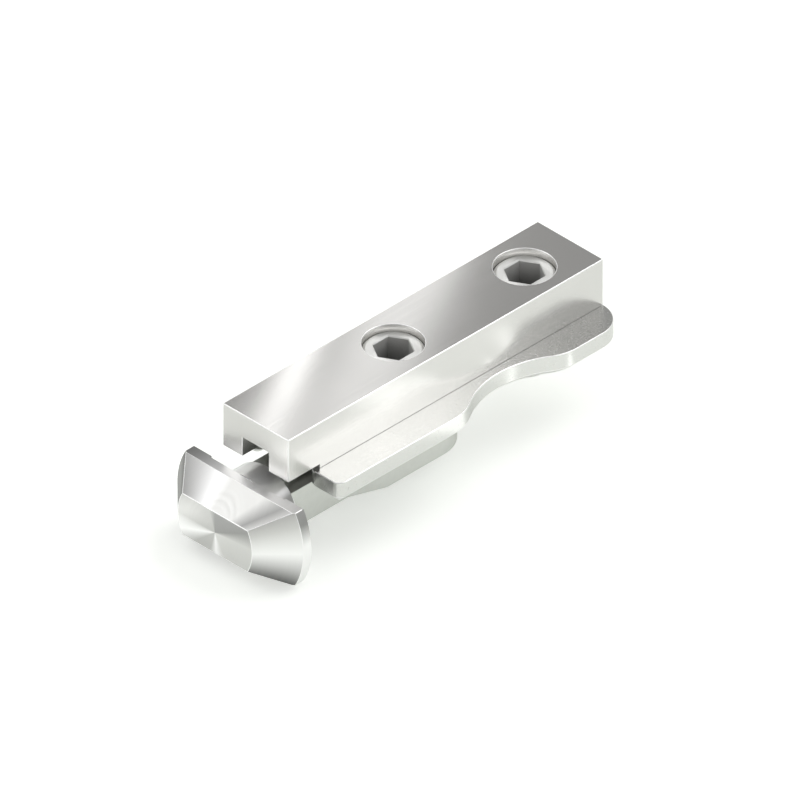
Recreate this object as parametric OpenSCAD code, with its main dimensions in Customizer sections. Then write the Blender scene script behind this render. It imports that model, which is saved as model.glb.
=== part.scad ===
// Tensioning connector for slotted frame profiles, shown slack, as it is pushed into the slot.
// A key bar and a wing plate sit in the slot of the first profile. A hammer-head bolt reaches
// into the slot of the crossing profile, and a cone-point screw draws it back against the plate.
// Origin: on the joint plane and the centre line, at the underside of the slot lips.
// +X runs into the first profile, +Z points out of its slot.

/* [Key bar] */
// Length of the bar
bar_len = 48; // [46:0.5:56]
// Width of the bar, a sliding fit in the slot
bar_w = 10; // [9.8:0.1:11]
// Height of the bar above the slot lips' underside
bar_h = 6; // [5:0.5:8]
// Length of the nose in front of the joint plane
nose_len = 4; // [3:0.25:4.5]
// Height of the relief under the nose
relief_h = 0.5; // [0.3:0.1:1]
// How far the relief runs on behind the joint plane
relief_over = 0.8; // [0.4:0.1:2]
// Width of the groove under the nose
groove_w = 4; // [3:0.25:5]
// Height of that groove above the slot lips' underside
groove_h = 3; // [2:0.25:3.5]
// Length of that groove from the front of the bar
groove_len = 8; // [5:0.5:11]
// Chamfer on the long edges of the bar
edge_break = 0.2; // [0.1:0.05:0.5]

/* [Wing plate] */
// Width of the plate, across the profile's inner groove
plate_w = 17.5; // [16.5:0.25:20]
// Thickness of the plate
plate_t = 2.8; // [2.4:0.1:3.5]
// Bevel round the plate's lower edge
plate_bevel = 0.85; // [0.5:0.05:0.95]
// Radius of the front corners
front_r = 1; // [1:0.1:2]
// Width of the waist between the screws
waist_w = 12.1; // [11.5:0.1:13.5]
// Hollow radius of the waist
waist_r = 11.5; // [9:0.5:14]
// Radius that leads from the waist to the straight sides
blend_r = 6; // [4:0.5:8]
// Corner radius at the mouth of the bolt notch
mouth_r = 1.5; // [1:0.1:2]
// Corner radius at the closed end of the bolt notch
notch_r = 1; // [0.5:0.1:1.5]
// Depth of the seat that keeps the bar straight on the plate
seat_depth = 0.2; // [0.1:0.05:0.4]
// Wall of the collars that hold the plate to the bar
collar_wall = 1.2; // [1:0.05:1.3]
// Width of the rolled rim at the foot of a collar
collar_rim = 0.5; // [0.3:0.1:0.7]

/* [Screws] */
// Distance between the two screws
screw_gap = 20; // [18:0.5:24]
// Distance of the clamp screw from the rear end
rear_margin = 7; // [6:0.5:9]
// Core diameter of the threaded bores
bore_d = 6.9; // [6.5:0.1:7]
// Depth of the screw heads below the top of the bar
screw_recess = 0.7; // [0.3:0.1:1.5]
// Across flats of the hexagon sockets
socket_af = 4; // [3:0.5:4.5]
// Depth of the hexagon sockets
socket_depth = 4; // [3:0.25:5]
// Length of the tension screw
tension_screw_len = 10; // [9.5:0.1:10.5]
// Diameter of the blunt tip of the tension screw's 90 degree cone
cone_tip_d = 2; // [1.5:0.1:2.5]
// Length of the clamp screw
clamp_screw_len = 12; // [11:0.5:14]
// Diameter of the flat foot of the clamp screw
foot_d = 5.5; // [4.5:0.1:6]
// Chamfer on the upper rim of a screw
rim_break = 0.3; // [0.1:0.05:0.5]

/* [Hammer-head bolt] */
// Overall length of the bolt
bolt_len = 35; // [34:0.5:38]
// Depth of the bolt's axis below the slot lips' underside
bolt_drop = 5.5; // [5.4:0.1:6]
// Gap between the joint plane and the pads of the slack bolt
head_gap = 5; // [4.5:0.1:6]
// Thickness of the head
head_t = 5.2; // [4.5:0.1:6]
// Thickness of the rim of the head
rim_t = 1.3; // [1:0.1:1.6]
// Largest diameter of the head
head_d = 19.2; // [18:0.2:20]
// Diameter of the flat front face
face_d = 11.3; // [10.5:0.1:12]
// Height of the head across its flats, to pass the slot
head_flat = 9.5; // [9:0.1:9.8]
// Height of the front face across its bevels
face_flat = 5.4; // [4:0.2:7]
// Length of the parallel flats from the pads forward
flat_len = 1.5; // [1:0.1:2.5]
// Depth of the relief between the two pads
pad_relief = 0.3; // [0.2:0.05:0.6]
// Diameter of the neck
neck_d = 9.8; // [9:0.1:9.8]
// Length of the neck behind the pads
neck_len = 2.7; // [2:0.1:3]
// Width of the shank
shank_w = 7.2; // [6.6:0.1:7.6]
// Depth of the shank's top below the slot lips' underside
shank_drop = 2.55; // [2.4:0.05:2.7]
// Thickness of the shank
shank_t = 4.9; // [4.5:0.1:5.2]
// Length of the shank in front of its taper
shank_len = 8.9; // [8:0.1:10]
// Length of the taper from the shank to the eye
taper_len = 4.8; // [4:0.1:5]
// Width of the rib on the shank
rib_w = 4; // [3:0.25:5]
// Height of the rib on the shank
rib_h = 0.6; // [0.4:0.1:0.8]
// Width of the eye
eye_w = 9.4; // [9.2:0.1:10]
// Thickness of the eye
eye_t = 5; // [4.6:0.1:5.3]

/* [Travel and fits] */
// Travel of the tension screw, and of the bolt with it
draw_travel = 1.5; // [1:0.1:1.5]
// Radial clearance of the screws in their bores
screw_fit = 0.05; // [0.02:0.01:0.08]
// Clearance of the bar and its collars in the plate
seat_fit = 0.03; // [0.01:0.01:0.05]
// Side clearance of the shank in the plate's notch
guide_fit = 0.1; // [0.05:0.05:0.3]
// Gap between the eye and the underside of the plate
eye_fit = 0.2; // [0.1:0.05:0.4]
// Clearance between the screw's cone and its seat in the eye
cone_fit = 0.08; // [0.04:0.01:0.12]

/* [Hidden] */
$fn = 96;

zinc_bar = [0.80, 0.81, 0.79];
zinc_plate = [0.84, 0.86, 0.83];
zinc_bolt = [0.76, 0.78, 0.75];
zinc_screw = [0.70, 0.71, 0.70];

// Cuts run this far past the faces they open
past = 1;

plate_len = bar_len - nose_len;
clamp_x = plate_len - rear_margin;
tension_x = clamp_x - screw_gap;
rear_r = (plate_w - bar_w) / 2;
bevel_top = plate_bevel - plate_t;

bore_r = bore_d / 2;
screw_r = bore_r - screw_fit;
collar_r = bore_r + collar_wall;
screw_top = bar_h - screw_recess;
tension_tip = screw_top - tension_screw_len;
clamp_tip = screw_top - clamp_screw_len;
cone_h = screw_r - cone_tip_d / 2;

pad_x = -head_gap;
face_x = pad_x - head_t;
neck_end = pad_x + neck_len;
taper_x = neck_end + shank_len;
taper_end = taper_x + taper_len;
eye_r = eye_w / 2;
eye_x = face_x + bolt_len - eye_r;
eye_top = -plate_t - eye_fit;
eye_bottom = eye_top - eye_t;
shank_bottom = -shank_drop - shank_t;
guide_end = taper_x + eye_top + shank_drop;

notch_half = shank_w / 2 + guide_fit;
notch_end = guide_end + draw_travel + notch_r + guide_fit;
waist_x = (tension_x + clamp_x) / 2;

// Side view, drawn as x and z, carried across the part to the width w
module across(w) {
    rotate([90, 0, 0])
        linear_extrude(height = w, center = true)
            children();
}

// End view, drawn as y and z, carried along the part from x0 to x1
module along(x0, x1) {
    translate([x0, 0, 0])
        rotate([90, 0, 90])
            linear_extrude(height = x1 - x0)
                children();
}

// Rectangle from low to high with its four corners cut at 45 degrees by c
module broken_rect(low, high, c) {
    polygon([
        [low[0] + c, low[1]], [high[0] - c, low[1]],
        [high[0], low[1] + c], [high[0], high[1] - c],
        [high[0] - c, high[1]], [low[0] + c, high[1]],
        [low[0], high[1] - c], [low[0], low[1] + c]
    ]);
}

// Steel block that keys into the slot, with both threaded bores and a collar under each
module key_bar() {
    half = bar_w / 2;
    color(zinc_bar)
    difference() {
        union() {
            intersection() {
                along(-nose_len, plate_len)
                    broken_rect([-half, -seat_depth], [half, bar_h], edge_break);
                across(bar_w)
                    broken_rect([-nose_len, -seat_depth], [plate_len, bar_h], edge_break);
                translate([0, 0, -seat_depth])
                    linear_extrude(height = bar_h + seat_depth)
                        broken_rect([-nose_len, -half], [plate_len, half], edge_break);
            }
            for (x = [tension_x, clamp_x])
                translate([x, 0, 0]) collar();
        }
        translate([-nose_len - past, -half - past, -seat_depth - past])
            cube([nose_len + relief_over + past, bar_w + 2 * past, seat_depth + past + relief_h]);
        nose_groove();
        for (x = [tension_x, clamp_x])
            translate([x, 0, -plate_t - past])
                cylinder(h = plate_t + bar_h + 2 * past, r = bore_r);
    }
}

// Tubular collar, rolled out into the countersink at the foot of the plate
module collar() {
    rotate_extrude()
        polygon([
            [0, 0], [collar_r, 0], [collar_r, collar_rim - plate_t],
            [collar_r + collar_rim, -plate_t], [0, -plate_t]
        ]);
}

// Groove milled into the underside of the nose, with a round end
module nose_groove() {
    end_x = groove_len - nose_len - groove_w / 2;
    translate([0, 0, -seat_depth - past])
        linear_extrude(height = groove_h + seat_depth + past)
            union() {
                translate([-nose_len - past, -groove_w / 2])
                    square([end_x + nose_len + past, groove_w]);
                translate([end_x, 0]) circle(d = groove_w);
            }
}

// Plate whose two wings bear up against the slot lips
module wing_plate() {
    rim_r = collar_r + seat_fit;
    color(zinc_plate)
    difference() {
        union() {
            slab(bevel_top, 0, 0, 0);
            slab(-plate_t, bevel_top, plate_bevel, 0);
        }
        translate([-past, -bar_w / 2 - seat_fit, -seat_depth])
            cube([plate_len + 2 * past, bar_w + 2 * seat_fit, seat_depth + past]);
        for (x = [tension_x, clamp_x])
            translate([x, 0, 0])
                rotate_extrude()
                    polygon([
                        [0, past], [rim_r, past], [rim_r, collar_rim - plate_t],
                        [rim_r + collar_rim + past, -plate_t - past], [0, -plate_t - past]
                    ]);
    }
}

// Layer of the plate from z0 to z1, drawn in by i0 at its foot and by i1 at its top
module slab(z0, z1, i0, i1) {
    difference() {
        union() {
            side = plate_w / 2;
            along(front_r, plate_len - rear_r)
                polygon([[i0 - side, z0], [side - i0, z0], [side - i1, z1], [i1 - side, z1]]);
            across(plate_w - 2 * front_r)
                polygon([[i0, z0], [waist_x, z0], [waist_x, z1], [i1, z1]]);
            across(plate_w - 2 * rear_r)
                polygon([[waist_x, z0], [plate_len - i0, z0], [plate_len - i1, z1], [waist_x, z1]]);
            for (s = [-1, 1]) {
                translate([front_r, s * (side - front_r), z0])
                    cylinder(h = z1 - z0, r1 = front_r - i0, r2 = front_r - i1);
                translate([plate_len - rear_r, s * (side - rear_r), z0])
                    cylinder(h = z1 - z0, r1 = rear_r - i0, r2 = rear_r - i1);
            }
        }
        for (s = [0, 1])
            mirror([0, s, 0]) {
                waist_cut(z0, z1, i0, i1);
                mouth_cut(z0, z1, i0, i1);
            }
        notch_cut(z0, z1, i0, i1);
    }
}

// Hollow arc of the waist with a round blend to each side, for the side at +y
module waist_cut(z0, z1, i0, i1) {
    side = plate_w / 2;
    hollow_y = waist_w / 2 + waist_r;
    blend_y = side - blend_r;
    reach = waist_r + blend_r;
    blend_dx = sqrt(reach * reach - pow(hollow_y - blend_y, 2));
    meet_dx = blend_dx * waist_r / reach;
    meet_y = hollow_y - (hollow_y - blend_y) * (waist_r + plate_bevel) / reach;
    translate([waist_x, hollow_y, z0])
        cylinder(h = z1 - z0, r1 = waist_r + i0, r2 = waist_r + i1);
    for (s = [0, 1])
        translate([waist_x, 0, 0])
            mirror([s, 0, 0])
                difference() {
                    translate([meet_dx, meet_y, z0])
                        cube([blend_dx - meet_dx, side + past - meet_y, z1 - z0]);
                    translate([blend_dx, blend_y, z0])
                        cylinder(h = z1 - z0, r1 = blend_r - i0, r2 = blend_r - i1);
                }
}

// Round corner at the mouth of the notch, for the side at +y
module mouth_cut(z0, z1, i0, i1) {
    difference() {
        translate([-past, 0, z0])
            cube([mouth_r + past, notch_half + mouth_r, z1 - z0]);
        translate([mouth_r, notch_half + mouth_r, z0])
            cylinder(h = z1 - z0, r1 = mouth_r - i0, r2 = mouth_r - i1);
    }
}

// Notch that guides the bolt's shank, closed at its inner end
module notch_cut(z0, z1, i0, i1) {
    straight = notch_end - notch_r;
    along(-past, straight)
        polygon([
            [-notch_half - i0, z0], [notch_half + i0, z0],
            [notch_half + i1, z1], [-notch_half - i1, z1]
        ]);
    across(2 * (notch_half - notch_r))
        polygon([[0, z0], [notch_end + i0, z0], [notch_end + i1, z1], [0, z1]]);
    for (s = [-1, 1])
        translate([straight, s * (notch_half - notch_r), z0])
            cylinder(h = z1 - z0, r1 = notch_r + i0, r2 = notch_r + i1);
}

// Forged bolt: hammer head, round neck, ribbed shank and an eye for the screw's cone
module tension_bolt() {
    color(zinc_bolt)
    difference() {
        union() {
            hammer_head();
            neck();
            shank();
        }
        cone_seat();
    }
}

// Turned head with two flats and two bevels, relieved at the back between its pads
module hammer_head() {
    cone_end = pad_x - rim_t;
    difference() {
        intersection() {
            translate([0, 0, -bolt_drop])
                rotate([0, 90, 0])
                    rotate_extrude()
                        polygon([
                            [0, face_x], [face_d / 2, face_x], [head_d / 2, cone_end],
                            [head_d / 2, pad_x], [0, pad_x]
                        ]);
            translate([0, 0, -bolt_drop])
                across(head_d)
                    polygon([
                        [face_x, -face_flat / 2], [pad_x - flat_len, -head_flat / 2],
                        [pad_x, -head_flat / 2], [pad_x, head_flat / 2],
                        [pad_x - flat_len, head_flat / 2], [face_x, face_flat / 2]
                    ]);
        }
        translate([pad_x - pad_relief, -face_d / 2, -bolt_drop - head_flat / 2 - past])
            cube([pad_relief + past, face_d, head_flat + 2 * past]);
    }
}

// Round neck between the slot lips of the crossing profile
module neck() {
    translate([0, 0, -bolt_drop])
        rotate([0, 90, 0])
            translate([0, 0, pad_x - pad_relief - past])
                cylinder(h = neck_len + pad_relief + past, d = neck_d);
}

// Shank, taper and eye, as the common part of a plan view and a side view
module shank() {
    start = neck_end - past;
    intersection() {
        translate([0, 0, eye_bottom])
            linear_extrude(height = -eye_bottom)
                union() {
                    polygon([
                        [start, -shank_w / 2], [taper_x, -shank_w / 2],
                        [taper_end, -eye_r], [eye_x, -eye_r],
                        [eye_x, eye_r], [taper_end, eye_r],
                        [taper_x, shank_w / 2], [start, shank_w / 2]
                    ]);
                    translate([eye_x, 0]) circle(r = eye_r);
                }
        across(eye_w)
            polygon([
                [start, -shank_drop], [guide_end, -shank_drop],
                [taper_x, eye_top], [eye_x + eye_r, eye_top],
                [eye_x + eye_r, eye_bottom], [taper_end, eye_bottom],
                [taper_x, shank_bottom], [start, shank_bottom]
            ]);
    }
    across(rib_w)
        polygon([
            [start, -shank_drop], [start, rib_h - shank_drop],
            [guide_end - rib_h, rib_h - shank_drop], [guide_end, -shank_drop]
        ]);
}

// Conical seat in the eye. It lies in front of the screw by the travel that is left, so that
// the cone pushes on its rear wall and wedges the bolt back. Above the cone, a ramp at the
// same 45 degrees lets the screw's shoulder in.
module cone_seat() {
    seat_x = tension_x - draw_travel;
    tip_z = tension_tip - draw_travel;
    tip_r = cone_tip_d / 2 + cone_fit;
    shoulder_z = tip_z + cone_h;
    shoulder_r = screw_r + cone_fit;
    ramp_r = shoulder_r + eye_top + past - shoulder_z;
    translate([seat_x, 0, 0]) {
        rotate_extrude()
            polygon([
                [0, tip_z - cone_fit], [tip_r, tip_z - cone_fit], [tip_r, tip_z],
                [shoulder_r, shoulder_z], [shoulder_r, eye_top + past], [0, eye_top + past]
            ]);
        across(2 * shoulder_r)
            polygon([
                [0, shoulder_z], [shoulder_r, shoulder_z],
                [ramp_r, eye_top + past], [0, eye_top + past]
            ]);
    }
}

// Hexagon socket with a corner along the bar and a drilled floor
module hex_socket() {
    corner_r = socket_af / 2 / cos(30);
    drill_h = socket_af / 2 * tan(31);
    translate([0, 0, screw_top - socket_depth])
        cylinder(h = socket_depth + past, r = corner_r, $fn = 6);
    translate([0, 0, screw_top - socket_depth - drill_h])
        cylinder(h = drill_h, r1 = 0, r2 = socket_af / 2);
}

// Set screw with a 90 degree cone point, which draws the bolt in
module tension_screw() {
    color(zinc_screw)
    translate([tension_x, 0, 0])
        difference() {
            rotate_extrude()
                polygon([
                    [0, tension_tip], [cone_tip_d / 2, tension_tip],
                    [screw_r, tension_tip + cone_h], [screw_r, screw_top - rim_break],
                    [screw_r - rim_break, screw_top], [0, screw_top]
                ]);
            hex_socket();
        }
}

// Set screw with a flat foot, which presses on the groove floor and clamps the connector
module clamp_screw() {
    foot_r = foot_d / 2;
    color(zinc_screw)
    translate([clamp_x, 0, 0])
        difference() {
            rotate_extrude()
                polygon([
                    [0, clamp_tip], [foot_r, clamp_tip],
                    [screw_r, clamp_tip + screw_r - foot_r], [screw_r, screw_top - rim_break],
                    [screw_r - rim_break, screw_top], [0, screw_top]
                ]);
            hex_socket();
        }
}

key_bar();
wing_plate();
tension_bolt();
tension_screw();
clamp_screw();
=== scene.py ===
import bmesh
import bpy
import numpy as np
from mathutils import Matrix, Vector
from mathutils.geometry import tessellate_polygon


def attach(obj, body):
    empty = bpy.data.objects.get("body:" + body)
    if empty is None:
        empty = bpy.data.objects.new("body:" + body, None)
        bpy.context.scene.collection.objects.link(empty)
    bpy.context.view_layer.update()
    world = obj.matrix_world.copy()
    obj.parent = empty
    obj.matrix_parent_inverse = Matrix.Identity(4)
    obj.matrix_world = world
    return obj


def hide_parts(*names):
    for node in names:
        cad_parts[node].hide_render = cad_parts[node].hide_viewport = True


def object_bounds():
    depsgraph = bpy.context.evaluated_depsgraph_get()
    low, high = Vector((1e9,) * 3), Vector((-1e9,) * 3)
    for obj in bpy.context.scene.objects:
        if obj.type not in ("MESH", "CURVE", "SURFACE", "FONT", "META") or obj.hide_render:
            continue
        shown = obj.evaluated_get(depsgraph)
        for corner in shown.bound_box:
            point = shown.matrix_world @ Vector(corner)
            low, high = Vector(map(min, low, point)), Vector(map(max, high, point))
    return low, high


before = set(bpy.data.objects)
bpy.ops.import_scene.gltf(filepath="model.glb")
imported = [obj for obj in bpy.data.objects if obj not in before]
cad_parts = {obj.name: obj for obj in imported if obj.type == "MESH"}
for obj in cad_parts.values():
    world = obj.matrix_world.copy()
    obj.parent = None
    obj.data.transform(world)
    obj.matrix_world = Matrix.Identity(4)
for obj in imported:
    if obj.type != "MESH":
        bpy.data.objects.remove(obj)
cad_low, cad_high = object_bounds()


# THE VIEW. The picture is an isometric drawing: it looks down the diagonal of a cube, with no
# perspective. The bolt head is nearest, at the lower left, and 9.28 pixels show one millimetre.
looked_at = Vector((0.01591, -0.00210, 0.0))
to_camera = Vector((-1, -1, 1)).normalized()
eye = bpy.data.cameras.new("isometric_view")
eye.type = "ORTHO"
eye.ortho_scale = 0.08618
eye.clip_start, eye.clip_end = 0.01, 3.0
viewer = bpy.data.objects.new("isometric_view", eye)
viewer.location = looked_at + to_camera * 0.4
viewer.rotation_mode = "QUATERNION"
viewer.rotation_quaternion = (-to_camera).to_track_quat("-Z", "Y")
bpy.context.scene.collection.objects.link(viewer)
bpy.context.scene.camera = viewer
bpy.context.scene.view_settings.view_transform = "Standard"


# THE TABLE UNDER THE PART. A wide sheet of matt white card, on which the round neck of the bolt
# rests. The card keeps the soft shadow, and its white also shows in the bright metal above it.
def srgb(code):
    """Turns a written colour to linear numbers: each of its three parts through the sRGB curve."""
    part = np.array([int(code[i:i + 2], 16) for i in (1, 3, 5)]) / 255
    line = np.where(part <= 0.04045, part / 12.92, ((part + 0.055) / 1.055) ** 2.4)
    return (*line.tolist(), 1.0)


def add(tree, kind, feeds=None, **settings):
    """Adds one node with its settings. A feed is the socket that an input is linked from, or the
    input's own value."""
    node = tree.nodes.new(kind)
    for key, value in settings.items():
        setattr(node, key, value)
    for key, value in (feeds or {}).items():
        if isinstance(value, bpy.types.NodeSocket):
            tree.links.new(value, node.inputs[key])
        else:
            node.inputs[key].default_value = value
    return node


def blank(name):
    """A new material with an empty tree and its output node."""
    made = bpy.data.materials.new(name)
    made.use_nodes = True
    made.node_tree.nodes.clear()
    return made, made.node_tree, made.node_tree.nodes.new("ShaderNodeOutputMaterial")


def meshed(name, points, faces):
    """A mesh object from arrays: the corner points in metres, and faces as rows of point numbers."""
    mesh = bpy.data.meshes.new(name)
    mesh.from_pydata(points.tolist(), [], faces)
    mesh.update()
    piece = bpy.data.objects.new(name, mesh)
    bpy.context.scene.collection.objects.link(piece)
    return piece


table_z = cad_low.z - 0.00002
reach = np.linspace(-1.5, 1.5, 4)
flat_x, flat_y = np.meshgrid(reach, reach, indexing="ij")
card_points = np.stack([flat_x, flat_y, np.full_like(flat_x, table_z)], -1).reshape(-1, 3)
first = (np.arange(3)[:, None] * 4 + np.arange(3)).reshape(-1)
table = meshed("table", card_points, np.stack([first, first + 4, first + 5, first + 1], -1).tolist())
card, tree, out = blank("matt_white_card")
# Matt card scatters about four fifths of the light. The rest of its white is shown to the eye and
# to bright metal only, so that it doesn't light the part.
fibres = add(tree, "ShaderNodeTexNoise", {"Vector": add(tree, "ShaderNodeTexCoord").outputs["Object"],
                                          "Scale": 2500.0, "Detail": 3.0})
tone = add(tree, "ShaderNodeMix", {0: fibres.outputs["Fac"], 6: srgb("#ECEFEA"), 7: srgb("#F0F3EE")},
           data_type="RGBA")
matt = add(tree, "ShaderNodeBsdfDiffuse", {"Color": tone.outputs[2]})
ray = add(tree, "ShaderNodeLightPath")
mirrored = add(tree, "ShaderNodeMath", {0: ray.outputs["Is Glossy Ray"],
                                        1: ray.outputs["Is Transmission Ray"]}, operation="MAXIMUM")
metal_sees = add(tree, "ShaderNodeMath", {0: mirrored.outputs[0], 1: 0.25}, operation="MULTIPLY")
lift = add(tree, "ShaderNodeMath", {0: ray.outputs["Is Camera Ray"], 1: 0.42,
                                    2: metal_sees.outputs[0]}, operation="MULTIPLY_ADD")
white = add(tree, "ShaderNodeEmission", {"Color": (1, 1, 1, 1), "Strength": lift.outputs[0]})
both = add(tree, "ShaderNodeAddShader", {0: matt.outputs[0], 1: white.outputs[0]})
tree.links.new(both.outputs[0], out.inputs["Surface"])
table.data.materials.append(card)


# THE LIGHT. A room with pale walls and a grey ceiling, and a large soft box above. Smaller panels
# hang near the part, because flat metal shows a band of light only where a lamp is close to it.
room = bpy.data.worlds.new("grey_room")
bpy.context.scene.world = room
room.use_nodes = True
room.node_tree.nodes.clear()
way = add(room.node_tree, "ShaderNodeTexCoord")
up = add(room.node_tree, "ShaderNodeSeparateXYZ", {0: way.outputs["Generated"]})
above = add(room.node_tree, "ShaderNodeMapRange", {0: up.outputs["Z"], 1: 0.12, 2: 0.42},
            interpolation_type="SMOOTHSTEP")
back = add(room.node_tree, "ShaderNodeVectorMath",
           {0: way.outputs["Generated"], 1: (0.707, 0.707, 0.0)}, operation="DOT_PRODUCT")
behind = add(room.node_tree, "ShaderNodeMapRange", {0: back.outputs["Value"], 1: -0.3, 2: 0.3},
             interpolation_type="SMOOTHSTEP")
rear = add(room.node_tree, "ShaderNodeMix",
           {0: above.outputs[0], 6: srgb("#F0F0EE"), 7: srgb("#A2A2A1")}, data_type="RGBA")
front = add(room.node_tree, "ShaderNodeMix",
            {0: above.outputs[0], 6: srgb("#D4D4D2"), 7: srgb("#8A8A89")}, data_type="RGBA")
tone = add(room.node_tree, "ShaderNodeMix",
           {0: behind.outputs[0], 6: front.outputs[2], 7: rear.outputs[2]}, data_type="RGBA")
ray = add(room.node_tree, "ShaderNodeLightPath")
grey = add(room.node_tree, "ShaderNodeBackground", {"Color": tone.outputs[2], "Strength": 1.0})
clear = add(room.node_tree, "ShaderNodeBackground", {"Color": (1, 1, 1, 1), "Strength": 1.0})
mixed = add(room.node_tree, "ShaderNodeMixShader",
            {0: ray.outputs["Is Camera Ray"], 1: grey.outputs[0], 2: clear.outputs[0]})
add(room.node_tree, "ShaderNodeOutputWorld", {"Surface": mixed.outputs[0]})


def soft_box(name, towards, away, wide, tall, glow, aim=looked_at, along=Vector((0, 0, 1))):
    """A lamp panel that faces the part from some way off. Its power is its glow times pi times its
    area, so that the glow is what a mirror shows. Its tall side leans as little as it can from the
    line along."""
    lamp = bpy.data.lights.new(name, "AREA")
    lamp.shape = "RECTANGLE"
    lamp.size, lamp.size_y = wide, tall
    lamp.energy = glow * np.pi * wide * tall
    holder = bpy.data.objects.new(name, lamp)
    back = Vector(towards).normalized()
    side = Vector(along).cross(back).normalized()
    turned_so = Matrix((side, back.cross(side), back)).transposed()
    holder.location = Vector(aim) + back * away
    holder.rotation_mode = "QUATERNION"
    holder.rotation_quaternion = turned_so.to_quaternion()
    holder.visible_camera = False
    bpy.context.scene.collection.objects.link(holder)


# The boxes light the edges, the head and the table. The strip and panel behind draw the slanting
# light on the bar's top, the panel on the right lights the wing and the bar's side, and the small
# ones light the side's middle, the bands on the wing's wall and the front of the head.
across_bar = (0.864, 0.504, 0.0)
soft_box("box_above", (-0.25, 0.2, 1.0), 0.60, 0.62, 0.62, 0.80)
soft_box("box_edges", (1.0, -0.25, 1.4), 0.60, 0.34, 0.34, 2.4)
soft_box("box_right", (1.0, -1.0, 1.0), 0.60, 0.30, 0.30, 0.12)
soft_box("box_left", (-1.0, 1.0, 1.3), 0.60, 0.30, 0.30, 1.6)
soft_box("strip_behind", (1.0, 1.0, 1.0), 0.026, 0.0024, 0.044, 1.7, (0.002, 0.00175, 0.006),
         across_bar)
soft_box("panel_behind", (1.0, 1.0, 1.0), 0.045, 0.008, 0.06, 0.85, (0.015, 0.0, 0.006),
         across_bar)
soft_box("panel_right", (1.0, -1.0, 1.0), 0.06, 0.030, 0.03, 1.6, (0.006, -0.005, 0.003))
soft_box("strip_low", (1.0, -1.0, -1.0), 0.014, 0.010, 0.003, 0.45, (0.0115, -0.005, 0.0049))
soft_box("strip_waist", (0.408, -0.707, -0.577), 0.003, 0.0004, 0.0022, 0.7,
         (0.0285, -0.0059, -0.001))
soft_box("strip_wing", (0.289, -0.764, -0.577), 0.008, 0.0012, 0.0025, 0.8,
         (0.0353, -0.0075, -0.001))
soft_box("panel_front", (-1.0, 1.0, -1.0), 0.011, 0.012, 0.008, 1.2, (-0.0102, 0.0, -0.0055))


# THE KEY BAR. A block of cold-drawn steel, ten by six millimetres, that keys into the slot of the
# profile. It is milled at the nose, drilled and tapped twice, and bright zinc plated.
def arc(x, y, radius, start, end, steps, hollow=False):
    """Points on a circle from one angle to another in degrees, each with the normal that points out
    of the metal: away from the centre, or towards it where the edge is hollow. Its columns are the
    place and then the normal."""
    angle = np.radians(np.linspace(start, end, steps))
    ray = np.stack([np.cos(angle), np.sin(angle)], -1)
    return np.concatenate([np.array([x, y]) + radius * ray, -ray if hollow else ray], 1)


def swept(outline, inset, height, tilt):
    """A wall: the outline, drawn in along its normals, at each of a row of heights. The tilt is the
    angle by which the wall's normal leans up from the level. All may change along the outline."""
    inset, height, tilt = [np.broadcast_to(np.asarray(v, float).reshape(len(v), -1),
                                           (len(v), len(outline))) for v in (inset, height, tilt)]
    flat = outline[None, :, :2] - inset[..., None] * outline[None, :, 2:]
    points = np.concatenate([flat, height[..., None]], -1)
    lean = np.radians(tilt)[..., None]
    normals = np.concatenate([outline[None, :, 2:] * np.cos(lean), np.sin(lean)], -1)
    rows, n = height.shape
    here = np.arange(n)
    after = (here + 1) % n
    row = np.arange(rows - 1)[:, None] * n
    faces = np.stack([row + here, row + n + here, row + n + after, row + after], -1).reshape(-1, 4)
    return points.reshape(-1, 3), normals.reshape(-1, 3), faces


def capped(loops, height, upward):
    """A flat face at one height, inside the first loop and outside the others. It is cut into
    triangles between their corners, and those without area are left out."""
    corners = np.concatenate([loop[:, :2] for loop in loops])
    points = np.concatenate([corners, np.full((len(corners), 1), height)], 1)
    cut = np.array(tessellate_polygon([[Vector((x, y, 0)) for x, y in loop[:, :2]] for loop in loops]))
    a, b, c = corners[cut[:, 0]], corners[cut[:, 1]], corners[cut[:, 2]]
    area = (b[:, 0] - a[:, 0]) * (c[:, 1] - a[:, 1]) - (b[:, 1] - a[:, 1]) * (c[:, 0] - a[:, 0])
    normal = np.broadcast_to([0.0, 0.0, 1.0 if upward else -1.0], points.shape)
    return points, normal, cut[np.abs(area) > 1e-9]


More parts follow.
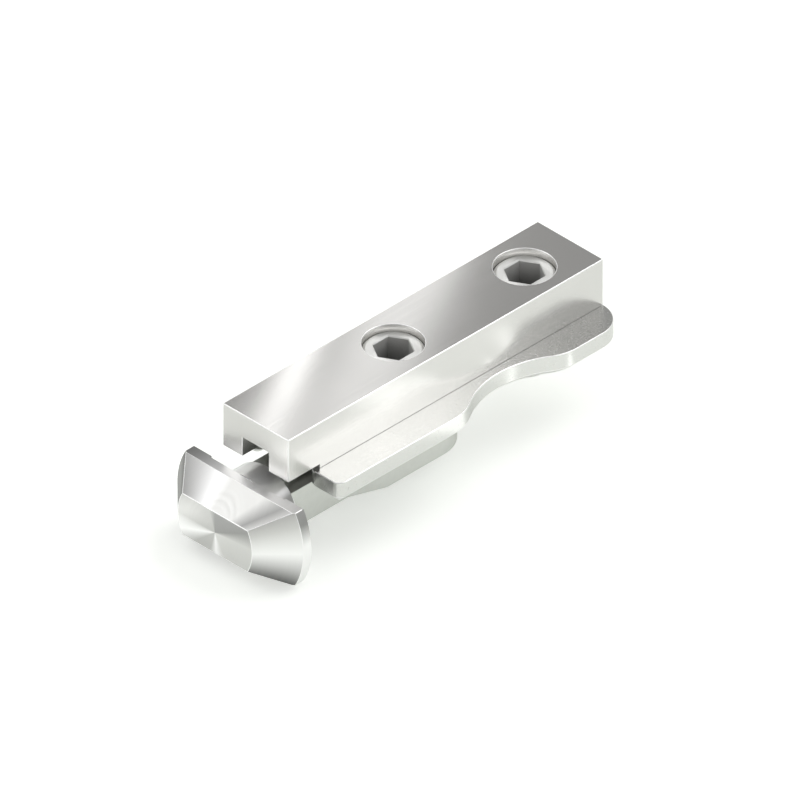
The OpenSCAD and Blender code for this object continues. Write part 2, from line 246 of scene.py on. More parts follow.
def joined(name, patches):
    """One closed mesh from patches in millimetres. Each face is wound to agree with its patch's
    normals, by half the sum of the cross products of its corners in turn. Points that fall together
    are made one, and each face keeps its own normals, so that roundings run smoothly into flats. A face
    carries a painted edge highlight where its normals turn by more than three radians in a millimetre."""
    first, points, normals, faces, edge_glint = 0, [], [], [], []
    for place, outward, rows in patches:
        rows = np.array(rows)
        ring = place[rows]
        area = np.cross(ring, np.roll(ring, -1, axis=1)).sum(1)
        inward = (area * outward[rows].mean(1)).sum(1) < 0
        rows[inward] = rows[inward][:, ::-1]
        stride = np.linalg.norm(ring - np.roll(ring, -1, axis=1), axis=2)
        bend = np.linalg.norm(outward[rows] - np.roll(outward[rows], -1, axis=1), axis=2)
        edge_glint.append((bend.max(1) > 0.01) & (bend.max(1) > 3.0 * stride.min(1)))
        points.append(place)
        normals.append(outward)
        faces += (rows + first).tolist()
        first += len(place)
    points, normals = np.concatenate(points), np.concatenate(normals)
    _, kept, where = np.unique(np.round(points, 4), axis=0, return_index=True, return_inverse=True)
    where = where.reshape(-1)
    corner = np.concatenate(faces)
    piece = meshed(name, points[kept] / 1000, [where[row].tolist() for row in faces])
    piece.data.shade_smooth()
    piece.data.normals_split_custom_set(normals[corner].tolist())
    share = np.concatenate(edge_glint).astype(np.float32)
    piece.data.attributes.new("painted_edge_highlight", "FLOAT", "FACE").data.foreach_set("value", share)
    return piece


def circle(x, y, radius, steps=96, hollow=False):
    """A full circle as a closed outline, without a second point at its start."""
    return arc(x, y, radius, 0, 360 - 360 / steps, steps, hollow)


def at_step(y, side):
    """Two points of a wall where the relief under the nose ends, one micron before the step and one
    micron after it, with the normal to one side."""
    return np.array([[relief_x - 1e-3, y, 0, side], [relief_x + 1e-3, y, 0, side]])


# All in millimetres. First the roundings: of the upright corners, the top edge, the foot, the edge of
# the relief and the corners of the groove. The points at the step stand a hair inside their wall, so
# that no triangle is cut between three points on one line.
corner, brow, foot_in, relief_in, lip_r, hair = 0.13, 0.12, 0.11, 0.05, 0.08, 3e-4
nose_x, rear_x, half_y, top_z = -4.0, 44.0, 5.0, 6.0
groove_y, groove_z, groove_end, relief_x, relief_z = 2.0, 3.0, 2.0, 0.8, 0.5
screws_x, bore_r, mouth, bore_break = (17.0, 37.0), 3.45, 0.09, 0.12
collar_r, rim_r, seat_z, rim_z, plate_z = 4.65, 5.15, -0.2, -2.3, -2.8
ends = [arc(rear_x - corner, corner - half_y, corner, 270, 360, 7),
        arc(rear_x - corner, half_y - corner, corner, 0, 90, 7)]
nose = [arc(nose_x + corner, half_y - corner, corner, 90, 180, 7),
        arc(nose_x + corner, corner - half_y, corner, 180, 270, 7)]
step = [at_step(s * (half_y - hair), s) for s in (-1, 1)]
lip = [arc(nose_x + lip_r, groove_y + lip_r, lip_r, 180, 270, 5),
       arc(nose_x + lip_r, -groove_y - lip_r, lip_r, 90, 180, 5)]
groove = np.concatenate([
    lip[0],
    at_step(groove_y - hair, -1),
    arc(groove_end, 0, groove_y, 90, -90, 25, hollow=True),
    at_step(hair - groove_y, 1)[::-1],
    lip[1],
])
block = np.concatenate([step[0], *ends, step[1][::-1], nose[0], [lip[0][0], lip[1][-1]], nose[1]])
grooved = np.concatenate([step[0], *ends, step[1][::-1], nose[0], groove, nose[1]])
turn = np.linspace(90, 0, 6)
bend = np.radians(turn)
relieved = grooved[:, 0] < relief_x
inset = np.where(relieved, relief_in, foot_in)
depth = np.where(relieved, relief_z, seat_z)
straight = np.zeros(len(grooved))
skin = [
    swept(block, [*(brow * (1 - np.cos(bend))), 0], [*(top_z - brow * (1 - np.sin(bend))), groove_z],
          [*turn, 0]),
    swept(grooved, [straight, straight, inset],
          [straight + groove_z, np.where(relieved, relief_z + relief_in, 0.0), depth],
          [straight, straight, straight - 30.0]),
    capped([groove], groove_z, False),
]
crown = block[:, :2] - brow * block[:, 2:]
foot = grooved[:, :2] - inset[:, None] * grooved[:, 2:]
skin.append(capped([crown] + [circle(x, 0, bore_r + mouth) for x in screws_x], top_z, True))
skin.append(capped([foot[~relieved]] + [circle(x, 0, collar_r) for x in screws_x], seat_z, False))
crossing = np.flatnonzero(relieved != np.roll(relieved, -1))
for s in (-1, 1):
    side = relieved & (s * grooved[:, 1] > 0)
    skin.append(capped([foot[side]], relief_z, False))
    here = crossing[s * grooved[crossing, 1] > 0]
    after = (here + 1) % len(foot)
    corners = np.array([here[0], after[0], here[1], after[1]])
    shelf = np.concatenate([foot[corners], depth[corners, None]], 1)
    skin.append((shelf, np.broadcast_to([-1.0, 0, 0], (4, 3)), [[0, 1, 2, 3]]))
for x in screws_x:
    rounded = bend[::-1]
    skin.append(swept(circle(x, 0, bore_r, hollow=True),
                      [bore_break, 0, *(mouth * (1 - np.cos(rounded)))],
                      [plate_z, plate_z + bore_break, *(top_z - mouth * (1 - np.sin(rounded)))],
                      [-45, 0, *turn[::-1]]))
    sleeve = circle(x, 0, collar_r)
    skin.append(swept(sleeve, [0, 0], [seat_z, rim_z], [0, 0]))
    skin.append(swept(sleeve, [0, collar_r - rim_r], [rim_z, plate_z], [45, 45]))
    skin.append(capped([circle(x, 0, rim_r), circle(x, 0, bore_r + bore_break)], plate_z, False))
bar = joined("bar_body", skin)
zinc, tree, out = blank("zinc_plated_drawn_steel")
# Cold drawing leaves faint straight lines along the bar, drawn coarser here, 0.2 mm apart, so that
# they show. The plating gives a soft grey shine that varies over some 8 mm. Every rounded edge is
# painted pure white as a painted highlight line, with a little more roughness.
place = add(tree, "ShaderNodeTexCoord")
lines_at = add(tree, "ShaderNodeMapping", {"Vector": place.outputs["Object"],
                                           "Scale": (1000 / 14, 1000 / 0.2, 1000 / 0.2)})
lines = add(tree, "ShaderNodeTexNoise", {"Vector": lines_at.outputs[0], "Scale": 1.0, "Detail": 2.0})
cloud = add(tree, "ShaderNodeTexNoise", {"Vector": place.outputs["Object"], "Scale": 1000 / 8,
                                         "Detail": 2.0})
tint = add(tree, "ShaderNodeMix", {0: cloud.outputs["Fac"], 6: srgb("#D8D7D5"), 7: srgb("#E2E1DF")},
           data_type="RGBA")
rough = add(tree, "ShaderNodeMapRange", {0: lines.outputs["Fac"], 1: 0.25, 2: 0.75, 3: 0.22, 4: 0.27})
edge_glint = add(tree, "ShaderNodeAttribute", attribute_name="painted_edge_highlight")
pale = add(tree, "ShaderNodeMix", {0: edge_glint.outputs["Fac"], 6: tint.outputs[2], 7: srgb("#FFFFFF")},
           data_type="RGBA")
matt = add(tree, "ShaderNodeMix", {0: edge_glint.outputs["Fac"], 2: rough.outputs[0], 3: 0.35})
ridge = add(tree, "ShaderNodeBump", {"Height": lines.outputs["Fac"], "Strength": 0.12,
                                     "Distance": 0.000004})
steel = add(tree, "ShaderNodeBsdfPrincipled", {"Base Color": pale.outputs[2], "Metallic": 1.0,
                                               "Roughness": matt.outputs[0],
                                               "Normal": ridge.outputs[0]})
tree.links.new(steel.outputs[0], out.inputs["Surface"])
bar.data.materials.append(zinc)
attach(bar, "carrier")
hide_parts("key_bar")


# THE WING PLATE. A plate stamped from 2.8 mm steel strip and bevelled below, whose two wings bear
# up against the slot lips. The bar's collars are rolled over in its countersinks.
# The outline has arcs only: rear corner, blend, hollow waist, blend, front corner, the notch's mouth
# and its closed end. The waist and a blend meet where both have turned to the angle meet.
edge, bevel_z, bevel_in, soft = 0.10, -1.95, 0.85, 0.15
side_y, rear_r, front_r = 8.75, 3.75, 1.0
middle_x, waist_y, waist_r, blend_x, blend_r, meet = 27.0, 6.05, 11.5, 9.339, 6.0, 57.75
notch_x, notch_y, notch_r, mouth_r = 8.75, 3.7, 1.0, 1.5
hole_r, sink_r = 4.68, 5.18
half_edge = np.concatenate([
    arc(rear_x - rear_r, side_y - rear_r, rear_r, 0.46, 90, 30),
    arc(middle_x + blend_x, side_y - blend_r, blend_r, 90, 180 - meet, 16),
    arc(middle_x, waist_y + waist_r, waist_r, 360 - meet, 180 + meet, 32, hollow=True),
    arc(middle_x - blend_x, side_y - blend_r, blend_r, meet, 90, 16),
    arc(front_r, side_y - front_r, front_r, 90, 180, 12),
    arc(mouth_r, notch_y + mouth_r, mouth_r, 180, 186.5, 3),
])
half_notch = np.concatenate([
    arc(mouth_r, notch_y + mouth_r, mouth_r, 186.6, 270, 14),
    arc(notch_x - notch_r, notch_y - notch_r, notch_r, 90, 0, 10, hollow=True),
])
flip = np.array([1, -1, 1, -1])
outline = np.concatenate([half_edge, half_notch, (half_notch * flip)[::-1], (half_edge * flip)[::-1],
                          [[rear_x, -4.999, 1, 0], [rear_x, 4.999, 1, 0]]])
# The wings stand 0.2 mm higher than the seat between them, which keeps the bar straight.
raised = np.abs(outline[:, 1]) > half_y + 0.01
upper = np.where(raised, 0.0, seat_z)
ring = len(outline)
lower_bend, sole_bend = np.radians(np.linspace(0, 45, 5)), np.radians(np.linspace(45, 90, 5))
lean = soft * np.tan(np.radians(22.5))
insets = [*(edge * (1 - np.cos(bend))), *(soft * (1 - np.cos(lower_bend))),
          *(bevel_in + lean - soft * np.cos(sole_bend))]
heights = [upper - edge * (1 - np.sin(b)) for b in bend] \
    + [np.full(ring, bevel_z + lean - soft * np.sin(b)) for b in lower_bend] \
    + [np.full(ring, plate_z + soft - soft * np.sin(b)) for b in sole_bend]
tilts = [*turn, *(-np.degrees(lower_bend)), *(-np.degrees(sole_bend))]
skin = [swept(outline, [np.full(ring, i) for i in insets], heights, [np.full(ring, t) for t in tilts])]
crown = outline[:, :2] - edge * outline[:, 2:]
sole = outline[:, :2] - insets[-1] * outline[:, 2:]
for s in (-1, 1):
    wing = np.flatnonzero(raised & (s * outline[:, 1] > 0))
    skin.append(capped([crown[wing]], 0.0, True))
    first, last = wing[0], wing[-1]
    riser = np.array([[*crown[first], 0], [*crown[last], 0], [*crown[(last + 1) % ring], seat_z],
                      [*crown[first - 1], seat_z]])
    skin.append((riser, np.broadcast_to([0.0, -s, 0.0], (4, 3)), [[0, 1, 2, 3]]))
skin.append(capped([crown[~raised]] + [circle(x, 0, hole_r) for x in screws_x], seat_z, True))
skin.append(capped([sole] + [circle(x, 0, sink_r) for x in screws_x], plate_z, False))
for x in screws_x:
    hole = circle(x, 0, hole_r, hollow=True)
    skin.append(swept(hole, [sink_r - hole_r, 0], [plate_z, rim_z], [-45, -45]))
    skin.append(swept(hole, [0, 0], [rim_z, seat_z], [0, 0]))
plate = joined("plate_body", skin)
zinc, tree, out = blank("zinc_plated_stamped_strip")
# Rolled strip is a little softer and more even than the drawn bar. Tumbling leaves a fine random grain,
# drawn coarser here, at about 0.3 mm. Every rounded edge is painted pure white as a painted highlight
# line, with a little more roughness.
place = add(tree, "ShaderNodeTexCoord")
grain = add(tree, "ShaderNodeTexNoise", {"Vector": place.outputs["Object"], "Scale": 1000 / 0.3,
                                         "Detail": 3.0})
cloud = add(tree, "ShaderNodeTexNoise", {"Vector": place.outputs["Object"], "Scale": 1000 / 6,
                                         "Detail": 2.0})
tint = add(tree, "ShaderNodeMix", {0: cloud.outputs["Fac"], 6: srgb("#D8D9D6"), 7: srgb("#E2E2E0")},
           data_type="RGBA")
rough = add(tree, "ShaderNodeMapRange", {0: grain.outputs["Fac"], 1: 0.3, 2: 0.7, 3: 0.23, 4: 0.28})
edge_glint = add(tree, "ShaderNodeAttribute", attribute_name="painted_edge_highlight")
pale = add(tree, "ShaderNodeMix", {0: edge_glint.outputs["Fac"], 6: tint.outputs[2], 7: srgb("#FFFFFF")},
           data_type="RGBA")
matt = add(tree, "ShaderNodeMix", {0: edge_glint.outputs["Fac"], 2: rough.outputs[0], 3: 0.35})
steel = add(tree, "ShaderNodeBsdfPrincipled", {"Base Color": pale.outputs[2], "Metallic": 1.0,
                                               "Roughness": matt.outputs[0]})
tree.links.new(steel.outputs[0], out.inputs["Surface"])
plate.data.materials.append(zinc)
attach(plate, "carrier")
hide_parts("wing_plate")


# THE HAMMER-HEAD BOLT. Forged from one bar of steel: a head with two flats, a round neck, a ribbed
# shank and an eye. The head and neck are then turned, and the whole bolt zinc plated.
axis_z, soft = -5.5, 0.12
face_x, flat_x, rim_x, back_x, pad_x = -10.2, -6.5, -6.3, -5.3, -5.0
face_r, head_r, face_half, head_half = 5.65, 9.6, 2.7, 4.75
neck_r, neck_end, neck_soft, rooted = 4.9, -2.3, 0.15, 0.05


def profile(x, knots):
    """Height of a bent line over x, and the angle of its normal towards -x. Each bend is an arc of the
    soft radius that touches both lines, so the sine of the angle falls evenly along it. The line
    starts upright, at the rim of the flat face."""
    slopes = [np.pi / 2] + [np.arctan2(b[1] - a[1], b[0] - a[0]) for a, b in zip(knots, knots[1:])]
    height = np.interp(x, [k[0] for k in knots], [k[1] for k in knots])
    angle = np.zeros_like(x)
    for k, a in zip(knots, slopes[1:]):
        angle = np.where(x >= k[0], a, angle)
    for k, a, b in zip(knots, slopes, slopes[1:]):
        reach = soft * np.tan((a - b) / 2)
        first, last = k[0] - reach * np.cos(a), k[0] + reach * np.cos(b)
        if a == np.pi / 2:
            first, last = k[0], k[0] + soft * (1 - np.sin(b))
        inside = (x >= first) & (x <= last)
        swing = np.arcsin(np.clip(np.sin(a) - (x - first) / soft, -1, 1))
        base = k[1] - reach * np.sin(a)
        height = np.where(inside, base + soft * (np.cos(swing) - np.cos(a)), height)
        angle = np.where(inside, swing, angle)
    return height, angle


def hammer(x):
    """The head, ring by ring: at each x, a circle of the turned profile's radius between two level
    lines of the bevelled profile's height, with its four corners rounded to the soft radius."""
    radius, cone = profile(x, [(face_x, face_r), (rim_x, head_r), (0.0, head_r)])
    level, bevel = profile(x, [(face_x, face_half), (flat_x, head_half), (0.0, head_half)])
    radius, cone, level, bevel = [v[:, None] for v in (radius, cone, level, bevel)]
    middle_y = np.sqrt((radius - soft) ** 2 - (level - soft) ** 2)
    turn_at = np.arctan2(level - soft, middle_y)
    side = np.linspace(-1, 1, 49)
    u = np.linspace(0, 1, 6)[1:]
    flat = np.linspace(1, -1, 13)[1:-1]
    round_end = turn_at * side
    bend = turn_at + (np.pi / 2 - turn_at) * u
    across = middle_y * flat
    # Three stretches of half a ring, each as y, z, the normal's y and z, and the share of the cone.
    stretches = [
        (radius * np.cos(round_end), radius * np.sin(round_end), np.cos(round_end), np.sin(round_end),
         np.ones_like(round_end)),
        (middle_y + soft * np.cos(bend), level - soft + soft * np.sin(bend), np.cos(bend),
         np.sin(bend), np.broadcast_to(1 - u, bend.shape)),
        (across, level + 0 * across, 0 * across, 1 + 0 * across, 0 * across),
    ]
    mirrored = [sign * v[:, ::-1] for sign, v in zip((-1, 1, -1, 1, 1), stretches[1])]
    y, z, ny, nz, share = [np.concatenate(part, 1) for part in zip(*stretches, mirrored)]
    y, z, ny, nz = [np.concatenate([part, -part], 1) for part in (y, z, ny, nz)]
    share = np.concatenate([share, share], 1)
    lean = share * cone + (1 - share) * bevel
    points = np.stack([np.broadcast_to(x[:, None], y.shape), y, z + axis_z], -1)
    normals = np.stack([-np.sin(lean), ny * np.cos(lean), nz * np.cos(lean)], -1)
    rows, n = y.shape
    here = np.arange(n)
    after = (here + 1) % n
    row = np.arange(rows - 1)[:, None] * n
    faces = np.stack([row + here, row + after, row + n + after, row + n + here], -1).reshape(-1, 4)
    return points, normals, faces


def turned_on_x(x, radius, lean, steps=96):
    """A surface of revolution about the bolt's axis: at each x, a circle of its radius. The lean is
    the normal's angle towards -x."""
    around = np.linspace(0, 2 * np.pi, steps, endpoint=False)
    x, radius, lean = [np.asarray(v, float)[:, None] for v in (x, radius, np.radians(lean))]
    points = np.stack([x + 0 * around, radius * np.cos(around), axis_z + radius * np.sin(around)], -1)
    normals = np.stack([-np.sin(lean) + 0 * around, np.cos(lean) * np.cos(around),
                        np.cos(lean) * np.sin(around)], -1)
    here = np.arange(steps)
    after = (here + 1) % steps
    row = np.arange(len(x) - 1)[:, None] * steps
    faces = np.stack([row + here, row + after, row + steps + after, row + steps + here], -1)
    return points.reshape(-1, 3), normals.reshape(-1, 3), faces.reshape(-1, 4)


def disc(ring, forward):
    """A flat face across a ring of points that all lie at one x."""
    return ring, np.broadcast_to([1.0 if forward else -1.0, 0, 0], ring.shape), [list(range(len(ring)))]


def pad(ring, s):
    """One of the two pads at the ends of the head's back. Its outline is that part of the head's last
    ring which lies further from the middle than the face's radius, with two corners on that line. It
    starts inside the head, drawn in a little, runs straight to near the pads' plane and ends in a
    45 degree break."""
    side = ring[s * ring[:, 1] > face_r + 0.01]
    side = side[np.argsort(np.arctan2(side[:, 2] - axis_z, s * side[:, 1]))]
    low, high = [[back_x, s * face_r, axis_z + t * head_half] for t in (-1, 1)]
    edge = np.concatenate([[low], side, [high]])
    middle, half_size = np.array([back_x, s * 7.2, axis_z]), np.array([1.0, 2.0, 4.7])
    pad_break, drawn_in = 0.07, 0.03
    root = (edge - middle) * (1 - drawn_in / half_size) + middle - [rooted, 0, 0]
    shoulder = edge + [pad_x - back_x - pad_break, 0, 0]
    tip = (edge - middle) * (1 - pad_break / half_size) + middle + [pad_x - back_x, 0, 0]
    from_axis = edge - [back_x, 0, axis_z]
    sideways = from_axis / np.linalg.norm(from_axis, axis=1)[:, None]
    on_flat = np.abs(np.abs(from_axis[:, 2]) - head_half) < 1e-6
    sideways[on_flat] = np.sign(from_axis[on_flat]) * [0, 0, 1]
    slant = (sideways + [1, 0, 0]) / np.sqrt(2)
    m = len(edge)
    here = np.arange(m - 1)
    wall = np.stack([here, here + 1, here + 1 + m, here + m], -1)
    patches = [(root, np.broadcast_to([-1.0, 0, 0], root.shape), [list(range(m))]),
               (np.concatenate([root, shoulder]), np.concatenate([sideways, sideways]), wall),
               (np.concatenate([shoulder, tip]), np.concatenate([slant, slant]), wall),
               (tip, np.broadcast_to([1.0, 0, 0], tip.shape), [list(range(m))])]
    for near, far in ((root, shoulder), (shoulder, tip)):
        patches.append((np.array([near[0], near[-1], far[-1], far[0]]),
                        np.broadcast_to([0.0, -s, 0], (4, 3)), [[0, 1, 2, 3]]))
    return patches


# The head's rings lie close together where its profile bends.
front = face_x + soft * np.array([0, 0.01, 0.04, 0.09, 0.16, 0.25, 0.2879, 0.38, 0.5151])
stations = np.concatenate([front, np.linspace(-9.9, -6.7, 9), [-6.56, -6.53, -6.5, -6.47, -6.44],
                           np.linspace(-6.36, -6.22, 7), [-6.0, -5.6, back_x]])
points, normals, faces = hammer(stations)
head = [(points.reshape(-1, 3), normals.reshape(-1, 3), faces),
        disc(points[0], False), disc(points[-1], True), *pad(points[-1], -1), *pad(points[-1], 1)]
neck_turn = np.linspace(0, -90, 7)
neck_bend = np.radians(neck_turn)
neck = turned_on_x([back_x - rooted, *(neck_end - neck_soft + neck_soft * np.sin(-neck_bend))],
                   [neck_r, *(neck_r - neck_soft + neck_soft * np.cos(neck_bend))], [0, *neck_turn])
around = 96
head += [neck, disc(neck[0][:around], False), disc(neck[0][-around:], True)]
hammer_head = joined("bolt_head", head)
turned, tree, out = blank("zinc_plated_turned_head")
# The lathe tool leaves rings about the bolt's axis under the plating, drawn coarser here, 0.25 mm
# apart, as a change of roughness. The rays from the centre, light and dark by turns and different from
# face to face, are painted highlights and painted shade in the base colour, over the anisotropic sheen.
place = add(tree, "ShaderNodeTexCoord")
from_axis = add(tree, "ShaderNodeVectorMath", {0: place.outputs["Object"], 1: (0.0, 0.0, -0.0055)},
                operation="SUBTRACT")
spread = add(tree, "ShaderNodeVectorMath", {0: from_axis.outputs[0], 1: (0.0, -1.0, 1.0)},
             operation="MULTIPLY")
offset = add(tree, "ShaderNodeSeparateXYZ", {0: spread.outputs[0]})
angle = add(tree, "ShaderNodeMath", {0: offset.outputs["Z"], 1: offset.outputs["Y"]},
            operation="ARCTAN2")
turn_share = add(tree, "ShaderNodeMapRange", {0: angle.outputs[0], 1: -np.pi, 2: np.pi})
facing = add(tree, "ShaderNodeSeparateXYZ", {0: place.outputs["Normal"]})
forward = add(tree, "ShaderNodeMath", {0: facing.outputs["X"], 1: -1.0}, operation="MULTIPLY")
upright = add(tree, "ShaderNodeMath", {0: facing.outputs["Z"]}, operation="ABSOLUTE")
is_cone = add(tree, "ShaderNodeMath", {0: forward.outputs[0], 1: 0.6}, operation="GREATER_THAN")
is_face = add(tree, "ShaderNodeMath", {0: forward.outputs[0], 1: 0.9}, operation="GREATER_THAN")
is_sloped = add(tree, "ShaderNodeMath", {0: forward.outputs[0], 1: 0.485, 2: 0.1},
                operation="COMPARE")
is_flat = add(tree, "ShaderNodeMath", {0: upright.outputs[0], 1: 0.8}, operation="GREATER_THAN")
is_bevel = add(tree, "ShaderNodeMath", {0: is_sloped.outputs[0], 1: is_flat.outputs[0]},
               operation="MULTIPLY")
# Each ramp paints light and dark rays, painted highlights and painted shade, once round the axis: from
# the far side, under it, past the near side and over it.
# Its few rays are placed at round angles and in five plain greys. It starts and ends in the
# tone of the far side.
bright, light, even, dim, dark = "#FFFFFF", "#E0E0DE", "#C4C4C2", "#A0A09F", "#787877"
painted_rays_of = {}
for part, far_side, painted_rays in (
        ("rim", dim, [(-30, bright), (5, bright), (20, dim), (60, bright), (120, bright), (155, dark)]),
        ("cone", dark, [(-30, dark), (0, bright), (20, light), (150, dark), (160, dim)]),
        ("bevel", dim, [(25, light), (35, dim), (50, light), (100, light), (120, bright), (150, dim)]),
        ("face", even, [(-160, bright), (-140, even), (-105, even), (-85, bright), (-60, light),
                        (5, light), (25, dim), (90, dim), (110, even)])):
    ramp = add(tree, "ShaderNodeValToRGB", {0: turn_share.outputs[0]})
    for end in (0, 1):
        ramp.color_ramp.elements[end].position = end
        ramp.color_ramp.elements[end].color = srgb(far_side)
    for degrees, code in painted_rays:
        ramp.color_ramp.elements.new((degrees + 180) / 360).color = srgb(code)
    painted_rays_of[part] = ramp
shade = painted_rays_of["rim"].outputs[0]
for part, mask in (("cone", is_cone), ("bevel", is_bevel), ("face", is_face)):
    shade = add(tree, "ShaderNodeMix", {0: mask.outputs[0], 6: shade, 7: painted_rays_of[part].outputs[0]},
                data_type="RGBA").outputs[2]
across = add(tree, "ShaderNodeVectorMath", {0: (1.0, 0.0, 0.0), 1: spread.outputs[0]},
             operation="CROSS_PRODUCT")
radius = add(tree, "ShaderNodeVectorMath", {0: spread.outputs[0]}, operation="LENGTH")
rings = add(tree, "ShaderNodeTexNoise", {"W": radius.outputs["Value"], "Scale": 1000 / 0.25,
                                         "Detail": 1.0}, noise_dimensions="1D")
rough = add(tree, "ShaderNodeMapRange",
            {0: rings.outputs["Fac"], 1: 0.25, 2: 0.75, 3: 0.38, 4: 0.44})
# The rounded edges are painted pure white: a painted highlight, with a little more roughness.
edge_glint = add(tree, "ShaderNodeAttribute", attribute_name="painted_edge_highlight")
pale = add(tree, "ShaderNodeMix", {0: edge_glint.outputs["Fac"], 6: shade, 7: srgb("#FFFFFF")},
           data_type="RGBA")
matt = add(tree, "ShaderNodeMix", {0: edge_glint.outputs["Fac"], 2: rough.outputs[0], 3: 0.35})
steel = add(tree, "ShaderNodeBsdfPrincipled", {"Base Color": pale.outputs[2], "Metallic": 1.0,
                                               "Roughness": matt.outputs[0], "Anisotropic": 0.5,
                                               "Anisotropic Rotation": 0.25,
                                               "Tangent": across.outputs[0]})
tree.links.new(steel.outputs[0], out.inputs["Surface"])
hammer_head.data.materials.append(turned)
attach(hammer_head, "bolt")
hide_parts("tension_bolt")


def eased(node, name, radius, behind, least=25.0):
    """A copy of a CAD solid's faces behind one x, with its outer edges rounded. Doubles are merged and
    flat faces joined. An edge is outer where the middle of one face lies behind the plane of the
    other, and it is rounded where the faces turn by more than the least angle, so that hollow
    corners stay crisp. The cut at that x is closed, and its edge stays sharp."""
    work = bmesh.new()
    work.from_mesh(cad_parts[node].data)
    bmesh.ops.remove_doubles(work, verts=work.verts, dist=2e-6)
    away = [f for f in work.faces if f.calc_center_median().x < behind]
    bmesh.ops.delete(work, geom=away, context="FACES")
    bmesh.ops.holes_fill(work, edges=[e for e in work.edges if e.is_boundary], sides=0)
    bmesh.ops.dissolve_limit(work, angle_limit=np.radians(0.4), verts=work.verts, edges=work.edges)
    mesh = bpy.data.meshes.new(name)
    work.to_mesh(mesh)
    work.free()
    count = len(mesh.polygons)
    normal, middle, sides = np.zeros(count * 3), np.zeros(count * 3), np.zeros(count, int)
    mesh.polygons.foreach_get("normal", normal)
    mesh.polygons.foreach_get("center", middle)
    mesh.polygons.foreach_get("loop_total", sides)
    normal, middle = normal.reshape(-1, 3), middle.reshape(-1, 3)
    edge_of = np.zeros(len(mesh.loops), int)
    mesh.loops.foreach_get("edge_index", edge_of)
    face_of = np.repeat(np.arange(count), sides)
    order = np.argsort(edge_of, kind="stable")
    sorted_edge = edge_of[order]
    pair = np.flatnonzero(sorted_edge[1:] == sorted_edge[:-1])
    a, b = face_of[order[pair]], face_of[order[pair + 1]]
    turn = np.degrees(np.arccos(np.clip((normal[a] * normal[b]).sum(1), -1, 1)))
    outer = ((middle[b] - middle[a]) * normal[a]).sum(1) < 0
    weight, sharp = np.zeros(len(mesh.edges), np.float32), np.ones(len(mesh.edges), bool)
    ends, place = np.zeros(len(mesh.edges) * 2, int), np.zeros(len(mesh.vertices) * 3)
    mesh.edges.foreach_get("vertices", ends)
    mesh.vertices.foreach_get("co", place)
    clear = place.reshape(-1, 3)[ends.reshape(-1, 2), 0].max(1) > behind + 0.00005
    weight[sorted_edge[pair]] = outer & (turn > least) & clear[sorted_edge[pair]]
    sharp[sorted_edge[pair]] = turn > least
    mesh.attributes.new("bevel_weight_edge", "FLOAT", "EDGE").data.foreach_set("value", weight)
    mesh.polygons.foreach_set("use_smooth", np.ones(count, bool))
    mesh.attributes.new("sharp_edge", "BOOLEAN", "EDGE").data.foreach_set("value", sharp)
    piece = bpy.data.objects.new(name, mesh)
    bpy.context.scene.collection.objects.link(piece)
    round_over = piece.modifiers.new("rounded_edges", "BEVEL")
    round_over.limit_method = "WEIGHT"
    round_over.width = radius
    round_over.segments = 3
    round_over.use_clamp_overlap = False
    round_over.harden_normals = True
    return piece


shank = eased("tension_bolt", "bolt_shank", 0.0001, -0.00229)
forged, tree, out = blank("zinc_plated_forged_steel")
# The shank keeps the skin of the forging die under the plating: soft dimples about 0.8 mm wide.
place = add(tree, "ShaderNodeTexCoord")
dimple = add(tree, "ShaderNodeTexNoise", {"Vector": place.outputs["Object"], "Scale": 1000 / 0.8,
                                          "Detail": 3.0})
tint = add(tree, "ShaderNodeMix", {0: dimple.outputs["Fac"], 6: srgb("#D0D2CE"), 7: srgb("#DEE0DC")},
           data_type="RGBA")
rough = add(tree, "ShaderNodeMapRange", {0: dimple.outputs["Fac"], 1: 0.3, 2: 0.7, 3: 0.32, 4: 0.42})
ridge = add(tree, "ShaderNodeBump", {"Height": dimple.outputs["Fac"], "Strength": 0.4,
                                     "Distance": 0.00001})
steel = add(tree, "ShaderNodeBsdfPrincipled", {"Base Color": tint.outputs[2], "Metallic": 1.0,
                                               "Roughness": rough.outputs[0],
                                               "Normal": ridge.outputs[0]})
tree.links.new(steel.outputs[0], out.inputs["Surface"])
shank.data.materials.append(forged)
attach(shank, "bolt")
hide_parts("tension_bolt")


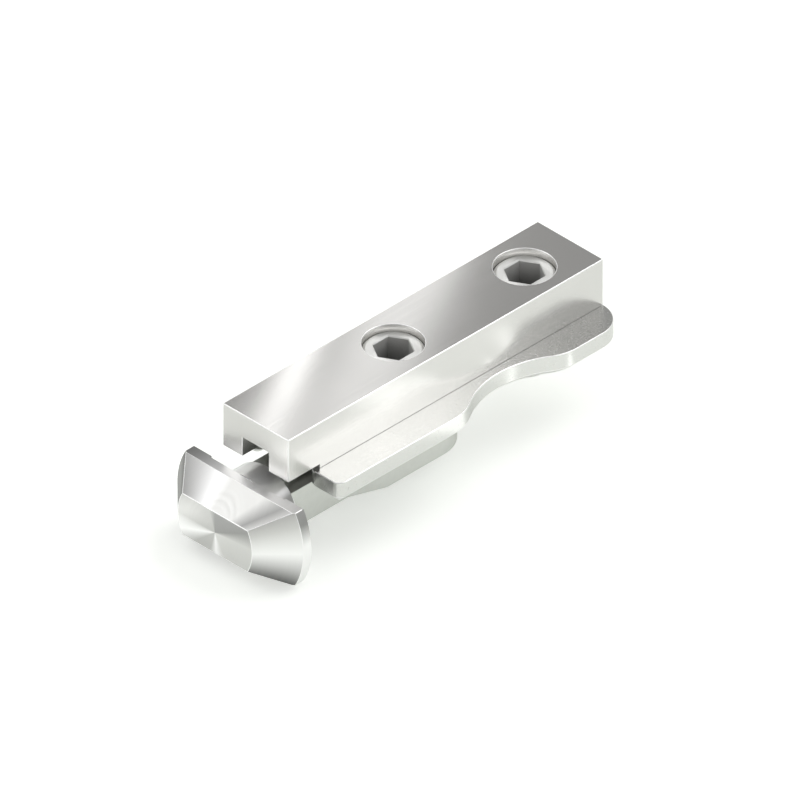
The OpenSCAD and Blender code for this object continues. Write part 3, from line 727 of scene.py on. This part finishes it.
# THE SET SCREWS. Two socket set screws, turned and thread-rolled from steel bar and zinc plated. The
# front one ends in a cone that draws the bolt back, the rear one in a flat foot that clamps.
def set_screw(name, centre, top, tip, cone_end, cone_height):
    """A solid of revolution with a hexagon in it: rings of points from the floor of the socket up its
    walls, over the rim and down the thread to the tip. In the socket a ring's radius is the
    hexagon's, half the width over flats divided by the cosine of the angle from the middle of the
    flat. On the thread it is the crest less a groove, a triangle wave of height and angle."""
    around = np.linspace(0, 2 * np.pi, 96, endpoint=False)
    flats = 0.5 / np.cos(around % (np.pi / 3) - np.pi / 6)
    width, depth = 0.0040, 0.0040
    crest, groove, pitch, rim = 0.0034, 0.00042, 0.00125, 0.0003
    full = np.ones_like(around)
    socket = [
        (full * width / 2 * 0.98, top - depth),
        (flats * width, top - depth),
        (flats * width, top - 0.00012),
        (flats * (width + 0.0002), top),
        (full * (crest - rim - 0.00008), top),
        (full * (crest - rim), top - 0.00004),
        (full * crest, top - rim),
    ]
    heights = np.arange(top - rim - 0.0002, tip + cone_height, -pitch / 12)
    wave = (heights[:, None] / pitch + around / (2 * np.pi)) % 1.0
    cut = np.clip(1.25 - np.abs(wave - 0.5) * 4, 0, 1)
    fade = np.clip((top - rim - heights) / 0.0006, 0, 1) \
        * np.clip((heights - tip - cone_height) / 0.0004, 0, 1)
    thread = crest - groove * cut * fade[:, None]
    end = [(full * crest, tip + cone_height), (full * cone_end, tip)]
    radii = np.concatenate([np.array([r for r, z in socket]), thread, np.array([r for r, z in end])])
    levels = np.concatenate([[z for r, z in socket], heights, [z for r, z in end]])
    x = centre + radii * np.cos(around)
    y = radii * np.sin(around)
    z = np.broadcast_to(levels[:, None], x.shape)
    points = np.stack([x, y, z], -1).reshape(-1, 3)
    drill = top - depth - width / 2 * np.tan(np.radians(31))
    points = np.concatenate([points, [[centre, 0, drill], [centre, 0, tip]]])
    rows, n = len(levels), len(around)
    here = np.arange(n)
    after = (here + 1) % n
    row = np.arange(rows - 1)[:, None] * n
    walls = np.stack([row + n + here, row + n + after, row + after, row + here], -1).reshape(-1, 4)
    floor = np.stack([np.full(n, rows * n), here, after], -1)
    foot = np.stack([np.full(n, rows * n + 1), (rows - 1) * n + after, (rows - 1) * n + here], -1)
    return meshed(name, points, walls.tolist() + floor.tolist() + foot.tolist())


for node, body, centre, tip, cone_end, cone_height in [
    ("tension_screw", "front_screw", 0.0170, -0.0047, 0.0010, 0.0024),
    ("clamp_screw", "rear_screw", 0.0370, -0.0067, 0.00275, 0.00065),
]:
    screw = set_screw(node + "_threaded", centre, 0.0053, tip, cone_end, cone_height)
    screw.data.shade_smooth()
    screw.data.set_sharp_from_angle(angle=np.radians(28))
    turned, tree, out = blank("zinc_plated_screw_" + node)
    # The faced end shows rings about the screw's axis, drawn coarser here, 0.25 mm apart, and rays of
    # light across them.
    place = add(tree, "ShaderNodeTexCoord")
    from_axis = add(tree, "ShaderNodeMapping",
                    {"Vector": place.outputs["Object"], "Location": (-centre, 0.0, 0.0),
                     "Scale": (1.0, 1.0, 0.0)})
    across = add(tree, "ShaderNodeVectorMath", {0: (0.0, 0.0, 1.0), 1: from_axis.outputs[0]},
                 operation="CROSS_PRODUCT")
    radius = add(tree, "ShaderNodeVectorMath", {0: from_axis.outputs[0]}, operation="LENGTH")
    rings = add(tree, "ShaderNodeTexNoise", {"W": radius.outputs["Value"], "Scale": 1000 / 0.25,
                                             "Detail": 1.0}, noise_dimensions="1D")
    rough = add(tree, "ShaderNodeMapRange",
                {0: rings.outputs["Fac"], 1: 0.25, 2: 0.75, 3: 0.50, 4: 0.60})
    steel = add(tree, "ShaderNodeBsdfPrincipled", {"Base Color": srgb("#F4F4F2"), "Metallic": 1.0,
                                                   "Roughness": rough.outputs[0], "Anisotropic": 0.7,
                                                   "Tangent": across.outputs[0]})
    tree.links.new(steel.outputs[0], out.inputs["Surface"])
    socket_shade, tree, out = blank("socket_painted_shade_" + node)
    # The broached socket's walls are painted darker towards its floor, from grey to near black: painted
    # shade down the recess.
    place = add(tree, "ShaderNodeTexCoord")
    height = add(tree, "ShaderNodeSeparateXYZ", {0: place.outputs["Object"]})
    down = add(tree, "ShaderNodeMapRange", {0: height.outputs["Z"], 1: 0.0013, 2: 0.0053})
    tint = add(tree, "ShaderNodeMix", {0: down.outputs[0], 6: srgb("#6E6E6D"), 7: srgb("#DEDEDC")},
               data_type="RGBA")
    steel = add(tree, "ShaderNodeBsdfPrincipled", {"Base Color": tint.outputs[2], "Metallic": 0.4,
                                                   "Roughness": 0.45})
    tree.links.new(steel.outputs[0], out.inputs["Surface"])
    screw.data.materials.append(turned)
    screw.data.materials.append(socket_shade)
    middle = np.zeros(len(screw.data.polygons) * 3)
    screw.data.polygons.foreach_get("center", middle)
    middle = middle.reshape(-1, 3)
    inside = (np.hypot(middle[:, 0] - centre, middle[:, 1]) < 0.00235) \
        & (middle[:, 2] > 0.0) & (middle[:, 2] < 0.0052)
    screw.data.polygons.foreach_set("material_index", inside.astype(np.int32))
    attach(screw, body)
    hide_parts(node)
